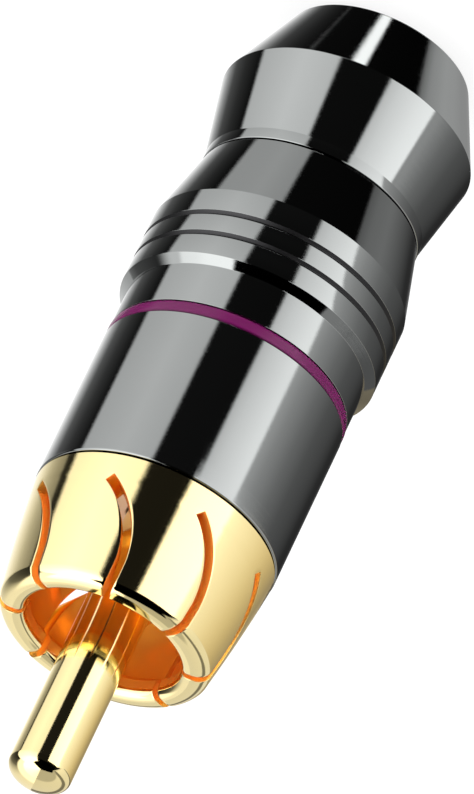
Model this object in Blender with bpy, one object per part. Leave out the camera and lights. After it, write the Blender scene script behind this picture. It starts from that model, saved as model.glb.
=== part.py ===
"""RCA cable plug: slotted gold collar and centre pin, dark metal barrel and a screw-on tail nut.

The plug stands on its tail. +Z runs along its axis from the cable end to the tip of the pin, and the
origin is the middle of the tail nut's flat end face. All sizes are in metres.
"""

from math import asin, atan2, cos, hypot, pi, radians, sin, tan

import bmesh
import bpy
from mathutils import Matrix, Vector

MM = 0.001

# Clearances
SEAM_GAP = 0.08 * MM  # between two pieces that screw up against each other
FIT_GAP = 0.05 * MM  # between two fixed pieces that touch
THREAD_GAP = 0.05 * MM  # from a thread's crest to the bore that it turns in

# Centre pin
PIN_RADIUS = 1.6 * MM
PIN_REACH = 8.5 * MM  # tip to the collar's rim
PIN_DOME_HEIGHT = 0.88 * MM
PIN_FLANGE_RISE = 0.8 * MM
PIN_FLANGE_THICKNESS = 0.6 * MM
PIN_FLANGE_DEPTH = 1.3 * MM  # insulator's face down to the flange
CUP_LENGTH = 4.1 * MM  # solder cup behind the rear insulator
CUP_BORE_RADIUS = 1.15 * MM
CUP_BORE_DEPTH = 3.9 * MM
CUP_WINDOW_LENGTH = 3.0 * MM

# Collar
LIP_RADIUS = 4.05 * MM  # grips the jack
RELIEF_DEPTH = 0.4 * MM  # behind the lip, on the radius
LIP_WALL = 1.32 * MM
LIP_LENGTH = 0.9 * MM
LIP_ROUND = 0.7 * MM
LIP_INNER_ROUND = 0.45 * MM
COLLAR_HEIGHT = 6.79 * MM
COLLAR_BOW = 0.07 * MM
SOCKET_DEPTH = 7.2 * MM  # rim to the insulator's face
BOSS_WALL = 1.1 * MM
WEB_THICKNESS = 1.3 * MM
FLANGE_SETBACK = 0.03 * MM  # collar's edge inside the barrel's edge

# The collar's curved slots
SLOT_COUNT = 8
SLOT_WIDTH = 0.5 * MM
SLOT_BAND = 1.29 * MM  # solid band between the slots and the seam
SLOT_BEND_RADIUS = 5.6 * MM  # of the slot's arc, on the unrolled wall
SLOT_APEX_DEPTH = 1.1 * MM  # where the arc runs parallel to the axis, below the rim
SLOT_PHASE = radians(8.8)
SLOT_STEPS = 10  # facets along the arc
BLADE_REACH = 0.3 * MM  # past the wall on both sides

# Screw threads: a thread's wall is drawn at its root on the outside and at its crest on the inside
THREAD_DEPTH = 0.35 * MM
TAIL_THREAD_DEPTH = 0.25 * MM
TAIL_THREAD_LENGTH = 3.0 * MM

# Insulators, ground tab and its nut
INSULATOR_THICKNESS = 2.15 * MM
BUSH_WALL = 0.5 * MM
BUSH_FLANGE_THICKNESS = 0.55 * MM
SPIGOT_WALL = 0.75 * MM
SPIGOT_PROUD = 0.15 * MM
NUT_WALL = 0.5 * MM
NUT_THICKNESS = 1.2 * MM
TAB_THICKNESS = 0.45 * MM
TAB_WIDTH = 3.6 * MM
TAB_GAP = 0.35 * MM  # strip to the nut's flat
TAB_JOGGLE = 0.8 * MM  # length of the bend between the strip and the ears
TAB_ROOT_ANGLE = radians(50)  # share of the washer's rim that the strip leaves from
WASHER_SIDES = 32
EAR_STEPS = 4  # facets of each ear's curve
EAR_LENGTH = 3.0 * MM
EAR_HEIGHT = 2.4 * MM  # above the plug's axis
EAR_FLOOR_GAP = 0.9 * MM

# Liner
LINER_WALL = 0.35 * MM
LINER_GAP = 0.14 * MM

# Barrel
BARREL_WALL = 0.75 * MM  # outside the thread
BARREL_BACK_WALL = 0.6 * MM  # outside the liner
BARREL_FRONT_LENGTH = 8.51 * MM  # seam to the marking ring's groove
BARREL_MIDDLE_LENGTH = 2.23 * MM  # groove to the chamfered step
BARREL_TAPER = 0.06 * MM
STEP_HEIGHT = 0.35 * MM
STEP_RISE = 0.43 * MM
GRIP_LENGTH = 3.9 * MM
GRIP_GROOVE_WIDTH = 0.3 * MM
GRIP_GROOVE_DEPTH = 0.15 * MM
GRIP_GROOVE_STEPS = (1.25 * MM, 1.25 * MM)  # from the step to the first groove, then to the second
BARREL_CONE_LENGTH = 3.92 * MM
CAVITY_TAPER_LENGTH = 1.6 * MM
TAIL_BOSS_WALL = 0.8 * MM

# Marking ring
RING_WIDTH = 0.7 * MM
RING_THICKNESS = 0.4 * MM
RING_SINK = 0.03 * MM

# Tail nut and cable collet
CABLE_RADIUS = 3.15 * MM
COLLET_WALL = 0.73 * MM
COLLET_GAP = 0.07 * MM
COLLET_SLOTS = 6
COLLET_SLOT_WIDTH = 0.7 * MM
COLLET_UNSLOTTED = 1.2 * MM  # ring left whole above the slots
COLLET_HEAD_HEIGHT = 0.95 * MM
COLLET_TOOTH = 0.18 * MM
COLLET_TEETH = 3
COLLET_TOOTH_LAND = 0.02 * MM
TAIL_WALL = 0.68 * MM
TAIL_LAND_LENGTH = 0.6 * MM
TAIL_FLARE_LENGTH = 4.33 * MM
TAIL_FLARE_RISE = 0.83 * MM
TAIL_CHAMFER_LENGTH = 4.27 * MM
TAIL_END_WALL = 1.45 * MM
TAIL_HOLE_GAP = 0.15 * MM
TAIL_FLOOR_THICKNESS = 1.3 * MM

# Edges and facets
EDGE = 0.1 * MM  # usual break of a turned edge
SIDES = 48
COLLET_SIDES = 36
SMALL_SIDES = 24
EDGE_STEPS = 2  # facets of a broken edge
FILLET_STEPS = 4  # facets of a larger rounding
DOME_STEPS = 5
BOW_STEPS = 5
MERGE = 0.0005 * MM

# Radii, from the cable and the pin outwards
bush_radius = PIN_RADIUS + FIT_GAP + BUSH_WALL
spigot_bore = bush_radius + FIT_GAP
spigot_radius = spigot_bore + SPIGOT_WALL
nut_bore = spigot_radius + THREAD_GAP
nut_half_flats = nut_bore + NUT_WALL
strip_middle = nut_half_flats + TAB_GAP + TAB_THICKNESS / 2
ear_middle = CABLE_RADIUS + FIT_GAP + TAB_THICKNESS / 2
strip_corner = hypot(TAB_WIDTH / 2, strip_middle + TAB_THICKNESS / 2)
ear_corner = hypot(EAR_HEIGHT, ear_middle + TAB_THICKNESS / 2)
liner_bore = max(strip_corner, ear_corner) + LINER_GAP
liner_radius = liner_bore + LINER_WALL
barrel_bore = liner_radius + LINER_GAP / 2

# Radii, from the jack outwards
relief_radius = LIP_RADIUS + RELIEF_DEPTH
insulator_radius = LIP_RADIUS - FIT_GAP
boss_radius = max(LIP_RADIUS + BOSS_WALL, nut_half_flats / cos(pi / 6))
boss_crest = boss_radius + THREAD_DEPTH
barrel_thread_bore = boss_crest + THREAD_GAP
barrel_radius = max(barrel_thread_bore + BARREL_WALL, barrel_bore + BARREL_BACK_WALL + RING_THICKNESS)
collar_radius = barrel_radius - FLANGE_SETBACK
rim_radius = LIP_RADIUS + LIP_WALL
barrel_back_radius = barrel_radius - BARREL_TAPER
grip_radius = barrel_back_radius + STEP_RISE

# Radii of the tail, from the cable outwards
collet_radius = CABLE_RADIUS + COLLET_WALL
tail_boss_bore = collet_radius + COLLET_GAP
tail_boss_radius = tail_boss_bore + TAIL_BOSS_WALL
tail_boss_crest = tail_boss_radius + TAIL_THREAD_DEPTH
tail_thread_bore = tail_boss_crest + THREAD_GAP
land_radius = tail_thread_bore + TAIL_WALL
flare_radius = land_radius + TAIL_FLARE_RISE
tail_hole = CABLE_RADIUS + TAIL_HOLE_GAP
tail_end_radius = tail_hole + TAIL_END_WALL

# Heights, from the tail's end face up
flare_z = TAIL_CHAMFER_LENGTH
land_z = flare_z + TAIL_FLARE_LENGTH
tail_top_z = land_z + TAIL_LAND_LENGTH
barrel_bottom_z = tail_top_z + SEAM_GAP
grip_bottom_z = barrel_bottom_z + BARREL_CONE_LENGTH
grip_top_z = grip_bottom_z + GRIP_LENGTH
step_top_z = grip_top_z + STEP_HEIGHT
groove_bottom_z = step_top_z + BARREL_MIDDLE_LENGTH
groove_top_z = groove_bottom_z + RING_WIDTH + FIT_GAP
barrel_top_z = groove_top_z + BARREL_FRONT_LENGTH
seam_z = barrel_top_z + SEAM_GAP
rim_z = seam_z + COLLAR_HEIGHT
tip_z = rim_z + PIN_REACH

# Heights inside the collar, from the insulator's face down
face_z = rim_z - SOCKET_DEPTH
pocket_z = face_z - INSULATOR_THICKNESS - FIT_GAP
boss_end_z = pocket_z - WEB_THICKNESS
tab_z = boss_end_z - FIT_GAP - TAB_THICKNESS / 2
nut_top_z = tab_z - TAB_THICKNESS / 2 - FIT_GAP
spigot_end_z = nut_top_z - NUT_THICKNESS - SPIGOT_PROUD
bush_bottom_z = spigot_end_z - FIT_GAP - BUSH_FLANGE_THICKNESS
pin_flange_top_z = face_z - PIN_FLANGE_DEPTH
pin_flange_bottom_z = pin_flange_top_z - PIN_FLANGE_THICKNESS
cup_end_z = bush_bottom_z - CUP_LENGTH

# Heights inside the barrel and the tail
cavity_z = grip_bottom_z
tail_boss_end_z = barrel_bottom_z - TAIL_THREAD_LENGTH - SEAM_GAP
collet_head_z = tail_boss_end_z - SEAM_GAP
cone_top_z = collet_head_z - COLLET_HEAD_HEIGHT
ear_bottom_z = cavity_z + EAR_FLOOR_GAP
ear_top_z = ear_bottom_z + EAR_LENGTH


def material(name, color, metallic, roughness):
    """A Principled material with the piece's own colour and gloss."""
    made = bpy.data.materials.new(name)
    made.use_nodes = True
    shader = made.node_tree.nodes["Principled BSDF"]
    shader.inputs["Base Color"].default_value = (*color, 1.0)
    shader.inputs["Metallic"].default_value = metallic
    shader.inputs["Roughness"].default_value = roughness
    return made


def joint_point(name, height, parent=None):
    """An empty on the plug's axis, which carries the pieces of one moving group."""
    empty = bpy.data.objects.new(name, None)
    empty.location = (0.0, 0.0, height - (parent.matrix_world.translation.z if parent else 0.0))
    empty.parent = parent
    bpy.context.scene.collection.objects.link(empty)
    bpy.context.view_layer.update()
    return empty


def piece(name, bm, finish, parent):
    """Make an object of a mesh drawn at its real height, with its origin at its parent's."""
    bmesh.ops.translate(bm, verts=bm.verts, vec=-parent.matrix_world.translation)
    bmesh.ops.recalc_face_normals(bm, faces=bm.faces)
    mesh = bpy.data.meshes.new(name)
    bm.to_mesh(mesh)
    bm.free()
    mesh.shade_smooth()
    mesh.set_sharp_from_angle(angle=radians(30))
    made = bpy.data.objects.new(name, mesh)
    made.parent = parent
    if finish:
        mesh.materials.append(finish)
    bpy.context.scene.collection.objects.link(made)
    return made


def cut(target, cutter):
    """Take the cutter away from the target, and hide it."""
    cutter.hide_render = True
    cutter.display_type = "WIRE"
    boolean = target.modifiers.new(cutter.name, "BOOLEAN")
    boolean.operation = "DIFFERENCE"
    boolean.object = cutter


def rounded(*corners):
    """A closed outline of (radius, height) corners, where a third number rounds the corner."""
    outline = []
    for index, corner in enumerate(corners):
        here = Vector(corner[:2])
        if len(corner) == 2:
            outline.append(here)
            continue
        to_last = Vector(corners[index - 1][:2]) - here
        to_next = Vector(corners[(index + 1) % len(corners)][:2]) - here
        half = to_last.angle(to_next) / 2
        reach = min(corner[2] / tan(half), 0.45 * to_last.length, 0.45 * to_next.length)
        centre = here + (to_last.normalized() + to_next.normalized()).normalized() * reach / cos(half)
        start = here + to_last.normalized() * reach - centre
        end = here + to_next.normalized() * reach - centre
        steps = FILLET_STEPS if corner[2] > 2 * EDGE else EDGE_STEPS
        for step in range(steps + 1):
            along = start.normalized().slerp(end.normalized(), step / steps)
            outline.append(centre + along * start.length)
    return outline


def bowed(start, end, rise):
    """The points between two corners on a line that bows out by rise in its middle."""
    start, end = Vector(start), Vector(end)
    outward = (end - start).orthogonal().normalized()
    shares = [step / BOW_STEPS for step in range(1, BOW_STEPS)]
    return [start.lerp(end, share) + outward * rise * 4 * share * (1 - share) for share in shares]


def turned(outline, sides):
    """Spin an outline of (radius, height) points about Z into one closed mesh."""
    bm = bmesh.new()
    verts = [bm.verts.new((point[0], 0.0, point[1])) for point in outline]
    pairs = [(verts[index - 1], vert) for index, vert in enumerate(verts)]
    edges = [bm.edges.new(pair) for pair in pairs if max(vert.co.x for vert in pair) > MERGE]
    bmesh.ops.spin(
        bm, geom=verts + edges, axis=(0, 0, 1), cent=(0, 0, 0), angle=2 * pi, steps=sides, use_merge=True
    )
    bmesh.ops.remove_doubles(bm, verts=bm.verts, dist=MERGE)
    return bm


def box(low, high):
    """A box between two corners."""
    bm = bmesh.new()
    bmesh.ops.create_cube(bm, size=1.0)
    low, high = Vector(low), Vector(high)
    bmesh.ops.scale(bm, verts=bm.verts, vec=high - low)
    bmesh.ops.translate(bm, verts=bm.verts, vec=(low + high) / 2)
    return bm


def centre_pin(finish, parent):
    """Solid turned pin, with a flange between the insulators and a solder cup at its tail."""
    dome_base = tip_z - PIN_DOME_HEIGHT
    turns = [pi / 2 * step / DOME_STEPS for step in range(DOME_STEPS - 1, 0, -1)]
    dome = [(PIN_RADIUS * cos(turn), dome_base + PIN_DOME_HEIGHT * sin(turn)) for turn in turns]
    flange = PIN_RADIUS + PIN_FLANGE_RISE
    outline = rounded(
        (0.0, tip_z),
        *dome,
        (PIN_RADIUS, dome_base),
        (PIN_RADIUS, pin_flange_top_z),
        (flange, pin_flange_top_z),
        (flange, pin_flange_bottom_z),
        (PIN_RADIUS, pin_flange_bottom_z),
        (PIN_RADIUS, cup_end_z, EDGE),
        (CUP_BORE_RADIUS, cup_end_z, EDGE),
        (CUP_BORE_RADIUS, cup_end_z + CUP_BORE_DEPTH),
        (0.0, cup_end_z + CUP_BORE_DEPTH + CUP_BORE_RADIUS / 2),
    )
    pin = piece("centre_pin", turned(outline, SMALL_SIDES), finish, parent)
    window = box(
        (-2 * PIN_RADIUS, PIN_RADIUS / 8, cup_end_z - CUP_LENGTH),
        (2 * PIN_RADIUS, 2 * PIN_RADIUS, cup_end_z + CUP_WINDOW_LENGTH),
    )
    cut(pin, piece("cup_window", window, None, parent))


def slot_blades():
    """Curved blades, one for each slot: an arc on the unrolled wall, carried right through it."""
    mean_radius = (rim_radius + collar_radius) / 2
    slot_length = COLLAR_HEIGHT - SLOT_BAND
    depths = [slot_length - (slot_length + LIP_ROUND) * step / SLOT_STEPS for step in range(SLOT_STEPS + 1)]
    reaches = (LIP_RADIUS - BLADE_REACH, rim_radius, collar_radius + BLADE_REACH)
    corners = [(-1, reach) for reach in reaches] + [(1, reach) for reach in reversed(reaches)]
    bm = bmesh.new()
    for slot in range(SLOT_COUNT):
        last_ring = None
        for depth in depths:
            lean = asin(max(-1.0, min(1.0, (depth - SLOT_APEX_DEPTH) / SLOT_BEND_RADIUS)))
            side_shift = SLOT_BEND_RADIUS * (1 - cos(lean))
            ring = []
            for side, reach in corners:
                shift = side_shift + side * SLOT_WIDTH / 2 * cos(lean)
                height = rim_z - depth + side * SLOT_WIDTH / 2 * sin(lean)
                angle = SLOT_PHASE + 2 * pi * slot / SLOT_COUNT + shift / mean_radius
                ring.append(bm.verts.new((reach * cos(angle), reach * sin(angle), height)))
            if last_ring:
                for index in range(len(ring)):
                    bm.faces.new((last_ring[index - 1], last_ring[index], ring[index], ring[index - 1]))
            else:
                bm.faces.new(ring)
            last_ring = ring
        bm.faces.new(reversed(last_ring))
    return bm


def ground_collar(finish, parent):
    """Turned collar: rolled lip, relieved socket, bowed outside, threaded boss and rear spigot."""
    lip_bottom = rim_z - LIP_LENGTH
    rim = (rim_radius, rim_z)
    edge = (collar_radius, seam_z)
    outline = rounded(
        (LIP_RADIUS, rim_z, LIP_INNER_ROUND),
        (*rim, LIP_ROUND),
        *bowed(rim, edge, COLLAR_BOW),
        (*edge, EDGE),
        (boss_radius, seam_z),
        (boss_radius, boss_end_z, EDGE),
        (spigot_radius, boss_end_z),
        (spigot_radius, spigot_end_z, EDGE),
        (spigot_bore, spigot_end_z),
        (spigot_bore, pocket_z),
        (LIP_RADIUS, pocket_z),
        (LIP_RADIUS, face_z + RELIEF_DEPTH),
        (relief_radius, face_z + 2 * RELIEF_DEPTH),
        (relief_radius, lip_bottom - RELIEF_DEPTH),
        (LIP_RADIUS, lip_bottom),
    )
    collar = piece("ground_collar", turned(outline, SIDES), finish, parent)
    cut(collar, piece("slot_blades", slot_blades(), None, parent))


def insulators(finish, parent):
    """Front disc with a seat for the pin's flange, and the flanged bush behind it."""
    hole = PIN_RADIUS + FIT_GAP
    seat = PIN_RADIUS + PIN_FLANGE_RISE + FIT_GAP
    bottom = face_z - INSULATOR_THICKNESS
    front = rounded(
        (hole, face_z, EDGE),
        (insulator_radius, face_z, EDGE),
        (insulator_radius, bottom),
        (seat, bottom),
        (seat, pin_flange_top_z + FIT_GAP),
        (hole, pin_flange_top_z + FIT_GAP),
    )
    piece("front_insulator", turned(front, SMALL_SIDES), finish, parent)
    flange_top = spigot_end_z - FIT_GAP
    rear = rounded(
        (hole, pin_flange_bottom_z - FIT_GAP),
        (bush_radius, pin_flange_bottom_z - FIT_GAP),
        (bush_radius, flange_top),
        (spigot_radius, flange_top, EDGE),
        (spigot_radius, bush_bottom_z, EDGE),
        (hole, bush_bottom_z, EDGE),
    )
    piece("rear_insulator", turned(rear, SMALL_SIDES), finish, parent)


def lock_nut(finish, parent):
    """Hexagon nut with chamfered ends, its flats square to the ground tab's strip."""
    bottom = nut_top_z - NUT_THICKNESS
    middle = (nut_top_z + bottom) / 2
    chamfer = NUT_THICKNESS / 6
    outline = [
        (nut_bore, nut_top_z),
        (nut_half_flats, nut_top_z),
        (nut_half_flats, nut_top_z - chamfer),
        (nut_half_flats, bottom + chamfer),
        (nut_half_flats, bottom),
        (nut_bore, bottom),
    ]
    bm = turned(outline, SMALL_SIDES)
    for vert in bm.verts:
        on_flats = hypot(vert.co.x, vert.co.y) > (nut_bore + nut_half_flats) / 2
        if on_flats and abs(vert.co.z - middle) < NUT_THICKNESS / 2 - chamfer / 2:
            from_flat = (atan2(vert.co.y, vert.co.x) + pi / 6 + pi / 2) % (pi / 3) - pi / 6
            vert.co.x /= cos(from_flat)
            vert.co.y /= cos(from_flat)
    piece("lock_nut", bm, finish, parent)


def drop_edges(bm, edges, places):
    """Extrude a row of edges to new places, taken in order of x, and return the new edges."""
    made = bmesh.ops.extrude_edge_only(bm, edges=edges)["geom"]
    verts = [item for item in made if isinstance(item, bmesh.types.BMVert)]
    verts.sort(key=lambda vert: vert.co.x)
    for vert, place in zip(verts, places):
        vert.co = place
    made_edges = [item for item in made if isinstance(item, bmesh.types.BMEdge)]
    return [edge for edge in made_edges if set(edge.verts) <= set(verts)]


def ground_tab(finish, parent):
    """One folded sheet: a washer, a strip bent down from it, and a trough of two crimp ears."""
    washer_rim = strip_middle - TAB_THICKNESS / 2
    bm = bmesh.new()
    bmesh.ops.create_circle(bm, segments=WASHER_SIDES, radius=nut_bore)
    rim = bmesh.ops.extrude_edge_only(bm, edges=bm.edges[:])["geom"]
    rim_verts = [item for item in rim if isinstance(item, bmesh.types.BMVert)]
    bmesh.ops.scale(bm, verts=rim_verts, vec=(washer_rim / nut_bore, washer_rim / nut_bore, 1))
    bmesh.ops.translate(bm, verts=bm.verts, vec=(0, 0, tab_z))

    root_reach = washer_rim * sin(TAB_ROOT_ANGLE / 2)
    front = [vert for vert in rim_verts if vert.co.y < 0 and abs(vert.co.x) < root_reach]
    row = [edge for edge in bm.edges if all(vert in front for vert in edge.verts)]
    shares = [2 * index / (len(front) - 1) - 1 for index in range(len(front))]
    half_width = TAB_WIDTH / 2

    def flat_row(y, z):
        return [(share * half_width, y, z) for share in shares]

    def trough_row(z):
        turn = half_width / ear_middle
        return [(ear_middle * sin(share * turn), -ear_middle * cos(share * turn), z) for share in shares]

    row = drop_edges(bm, row, flat_row(-strip_middle, tab_z))
    row = drop_edges(bm, row, flat_row(-strip_middle, ear_top_z + TAB_JOGGLE))
    row = drop_edges(bm, row, trough_row(ear_top_z))
    top_row = {vert for edge in row for vert in edge.verts}
    row = drop_edges(bm, row, trough_row(ear_bottom_z))
    bottom_row = {vert for edge in row for vert in edge.verts}

    start = half_width / ear_middle
    turns = [start + (pi / 2 - start) * step / EAR_STEPS for step in range(1, EAR_STEPS + 1)]
    for side in (-1, 1):
        top = max(top_row, key=lambda vert: side * vert.co.x)
        bottom = max(bottom_row, key=lambda vert: side * vert.co.x)
        places = [(side * ear_middle * sin(turn), -ear_middle * cos(turn)) for turn in turns]
        places.append((side * ear_middle, EAR_HEIGHT))
        for x, y in places:
            new_top = bm.verts.new((x, y, ear_top_z))
            new_bottom = bm.verts.new((x, y, ear_bottom_z))
            bm.faces.new((top, bottom, new_bottom, new_top))
            top, bottom = new_top, new_bottom
    tab = piece("ground_tab", bm, finish, parent)
    sheet = tab.modifiers.new("sheet", "SOLIDIFY")
    sheet.thickness = TAB_THICKNESS
    sheet.offset = 0.0
    sheet.use_even_offset = True


def liner(finish, parent):
    """Plain plastic tube between the barrel's cavity floor and the collar's boss."""
    top = boss_end_z - 2 * LINER_GAP
    bottom = cavity_z + LINER_GAP
    outline = [(liner_bore, top), (liner_radius, top), (liner_radius, bottom), (liner_bore, bottom)]
    piece("liner", turned(outline, SIDES), finish, parent)


def barrel(finish, parent):
    """Turned shell: thread and cavity inside, ring groove, step, grip and cone outside."""
    groove_floor = barrel_radius - RING_SINK - RING_THICKNESS - FIT_GAP
    thread_end = boss_end_z - SEAM_GAP - EDGE
    grooves = []
    groove_z = grip_top_z
    for distance in GRIP_GROOVE_STEPS:
        groove_z -= distance
        grooves += [
            (grip_radius, groove_z + GRIP_GROOVE_WIDTH / 2),
            (grip_radius - GRIP_GROOVE_DEPTH, groove_z),
            (grip_radius, groove_z - GRIP_GROOVE_WIDTH / 2),
        ]
    outline = rounded(
        (barrel_thread_bore, barrel_top_z, EDGE),
        (barrel_radius, barrel_top_z, EDGE),
        (barrel_radius, groove_top_z),
        (groove_floor, groove_top_z),
        (groove_floor, groove_bottom_z),
        (barrel_back_radius, groove_bottom_z),
        (barrel_back_radius, step_top_z),
        (grip_radius, grip_top_z),
        *grooves,
        (grip_radius, grip_bottom_z),
        (land_radius - EDGE / 4, barrel_bottom_z, EDGE / 2),
        (tail_boss_radius, barrel_bottom_z),
        (tail_boss_radius, tail_boss_end_z, EDGE),
        (tail_boss_bore, tail_boss_end_z),
        (tail_boss_bore, cavity_z - CAVITY_TAPER_LENGTH),
        (barrel_bore, cavity_z),
        (barrel_bore, thread_end - EDGE),
        (barrel_thread_bore, thread_end),
    )
    piece("barrel", turned(outline, SIDES), finish, parent)


def ident_ring(finish, parent):
    """Elastic marking band, seated in the barrel's groove a hair below its surface."""
    outer = barrel_radius - RING_SINK
    inner = outer - RING_THICKNESS
    top = groove_top_z - FIT_GAP / 2
    bottom = top - RING_WIDTH
    soft = RING_WIDTH / 4
    outline = rounded((inner, top), (outer, top, soft), (outer, bottom, soft), (inner, bottom))
    piece("ident_ring", turned(outline, SIDES), finish, parent)


def cone_radius(z):
    """Radius at height z of the seat in the tail nut that closes the collet."""
    low = tail_hole + COLLET_GAP
    share = (z - TAIL_FLOOR_THICKNESS) / (cone_top_z - TAIL_FLOOR_THICKNESS)
    return low + (tail_boss_radius - low) * share


def cable_collet(finish, parent):
    """Slotted clamp: a sleeve in the barrel's tail boss and a tapered, toothed head below it."""
    tip = TAIL_FLOOR_THICKNESS + 2 * COLLET_GAP
    top = cavity_z - CAVITY_TAPER_LENGTH - COLLET_GAP
    head = cone_radius(cone_top_z) - COLLET_GAP
    pitch = (collet_head_z - tip) / (COLLET_TEETH + 1)
    teeth = []
    for tooth in range(COLLET_TEETH):
        crest = tip + pitch * (tooth + 1 / 2)
        teeth += [
            (CABLE_RADIUS, crest),
            (CABLE_RADIUS + COLLET_TOOTH, crest + pitch / 2),
            (CABLE_RADIUS, crest + pitch - COLLET_TOOTH_LAND),
        ]
    outline = rounded(
        (CABLE_RADIUS, top),
        (collet_radius, top, EDGE),
        (collet_radius, collet_head_z),
        (head, collet_head_z),
        (head, cone_top_z),
        (cone_radius(tip) - COLLET_GAP, tip),
        (CABLE_RADIUS, tip),
        *teeth,
    )
    collet = piece("cable_collet", turned(outline, COLLET_SIDES), finish, parent)
    slots = bmesh.new()
    for slot in range(COLLET_SLOTS):
        made = bmesh.ops.create_cube(slots, size=1.0)["verts"]
        low = Vector((CABLE_RADIUS / 2, -COLLET_SLOT_WIDTH / 2, tip - COLLET_HEAD_HEIGHT))
        high = Vector((2 * CABLE_RADIUS, COLLET_SLOT_WIDTH / 2, top - COLLET_UNSLOTTED))
        bmesh.ops.scale(slots, verts=made, vec=high - low)
        bmesh.ops.translate(slots, verts=made, vec=(low + high) / 2)
        turn = Matrix.Rotation(2 * pi * (slot + 1 / 2) / COLLET_SLOTS, 3, "Z")
        bmesh.ops.rotate(slots, verts=made, cent=(0, 0, 0), matrix=turn)
    cut(collet, piece("collet_slots", slots, None, parent))


def tail_nut(finish, parent):
    """Waisted clamp nut: land, flare and chamfer outside, thread, cone and cable hole inside."""
    outline = rounded(
        (tail_thread_bore, tail_top_z, EDGE),
        (land_radius, tail_top_z, EDGE / 2),
        (land_radius, land_z),
        (flare_radius, flare_z, EDGE / 2),
        (tail_end_radius, 0.0, 2 * EDGE),
        (tail_hole, 0.0, 2 * EDGE),
        (tail_hole, TAIL_FLOOR_THICKNESS),
        (cone_radius(TAIL_FLOOR_THICKNESS), TAIL_FLOOR_THICKNESS),
        (cone_radius(cone_top_z), cone_top_z),
        (tail_thread_bore, cone_top_z),
    )
    piece("tail_nut", turned(outline, SIDES), finish, parent)


def build():
    for old in list(bpy.data.objects):
        bpy.data.objects.remove(old)

    gold = material("gold_plate", (0.95, 0.66, 0.22), 1.0, 0.18)
    steel = material("plated_brass", (0.80, 0.62, 0.28), 1.0, 0.30)
    dark = material("dark_chrome", (0.32, 0.33, 0.34), 1.0, 0.12)
    purple = material("purple_band", (0.22, 0.02, 0.13), 0.0, 0.40)
    nylon = material("white_insulator", (0.82, 0.80, 0.74), 0.0, 0.45)
    black = material("black_insulator", (0.03, 0.03, 0.03), 0.0, 0.50)

    tail_end = joint_point("tail_end", 0.0)
    tail_screw = joint_point("tail_screw", tail_top_z, tail_end)
    barrel_screw = joint_point("barrel_screw", barrel_top_z, tail_screw)

    tail_nut(dark, tail_end)
    cable_collet(black, tail_screw)
    barrel(dark, tail_screw)
    ident_ring(purple, tail_screw)
    liner(black, barrel_screw)
    centre_pin(gold, barrel_screw)
    ground_collar(gold, barrel_screw)
    insulators(nylon, barrel_screw)
    lock_nut(steel, barrel_screw)
    ground_tab(steel, barrel_screw)


build()
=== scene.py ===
from math import atan2, cos, degrees, hypot, pi, radians, sin, sqrt, tan

import bmesh
import bpy
from mathutils import Matrix, Vector


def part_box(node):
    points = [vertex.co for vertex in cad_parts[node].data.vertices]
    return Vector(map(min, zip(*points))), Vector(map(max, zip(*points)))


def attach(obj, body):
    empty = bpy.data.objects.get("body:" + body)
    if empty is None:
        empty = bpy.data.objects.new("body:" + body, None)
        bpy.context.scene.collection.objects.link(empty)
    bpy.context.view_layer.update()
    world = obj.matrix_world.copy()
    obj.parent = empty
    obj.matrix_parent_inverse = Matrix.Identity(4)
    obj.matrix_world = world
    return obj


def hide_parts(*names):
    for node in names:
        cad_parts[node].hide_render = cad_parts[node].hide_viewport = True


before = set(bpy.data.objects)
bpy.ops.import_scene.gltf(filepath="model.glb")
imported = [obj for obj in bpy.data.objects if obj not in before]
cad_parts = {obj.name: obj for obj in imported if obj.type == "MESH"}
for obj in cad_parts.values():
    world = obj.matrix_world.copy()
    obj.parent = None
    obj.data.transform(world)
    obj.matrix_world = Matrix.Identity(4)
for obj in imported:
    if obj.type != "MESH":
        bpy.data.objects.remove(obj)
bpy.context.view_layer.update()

MM = 0.001

# Camera: a long lens looks down at the standing plug at 30 degrees. It is rolled, so that the pin points
# down and to the left, as in the photograph. The tip of the pin sets the place, and the lens the scale.
CAMERA_ELEVATION = radians(30)
CAMERA_ROLL = radians(-154.4)
CAMERA_DISTANCE = 800 * MM
PIXELS_PER_MM = 20.75
FRAME_HEIGHT = 794
TIP_LEFT_OF_CENTRE = 9.687 * MM
TIP_BELOW_CENTRE = 18.424 * MM
TARGET_DEPTH = 11.0 * MM  # of the plug's middle, behind its tip
SENSOR = 36.0

tip = Vector((0.0, 0.0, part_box("centre_pin")[1].z))
back = Vector((0.0, -cos(CAMERA_ELEVATION), sin(CAMERA_ELEVATION)))
level_up = Vector((0.0, sin(CAMERA_ELEVATION), cos(CAMERA_ELEVATION)))
camera_right = Vector((cos(CAMERA_ROLL), 0.0, 0.0)) + level_up * sin(CAMERA_ROLL)
camera_up = Vector((-sin(CAMERA_ROLL), 0.0, 0.0)) + level_up * cos(CAMERA_ROLL)
target = tip + camera_right * TIP_LEFT_OF_CENTRE + camera_up * TIP_BELOW_CENTRE - back * TARGET_DEPTH

lens = bpy.data.cameras.new("camera")
lens.sensor_width = SENSOR
lens.lens = SENSOR * PIXELS_PER_MM * CAMERA_DISTANCE / MM / FRAME_HEIGHT
lens.clip_start = CAMERA_DISTANCE / 10
lens.clip_end = CAMERA_DISTANCE * 10
camera = bpy.data.objects.new("camera", lens)
turn = Matrix((camera_right, camera_up, back)).transposed().to_4x4()
camera.matrix_world = Matrix.Translation(target + back * CAMERA_DISTANCE) @ turn
bpy.context.scene.collection.objects.link(camera)
bpy.context.scene.camera = camera
bpy.context.scene.view_settings.view_transform = "Standard"

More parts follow.
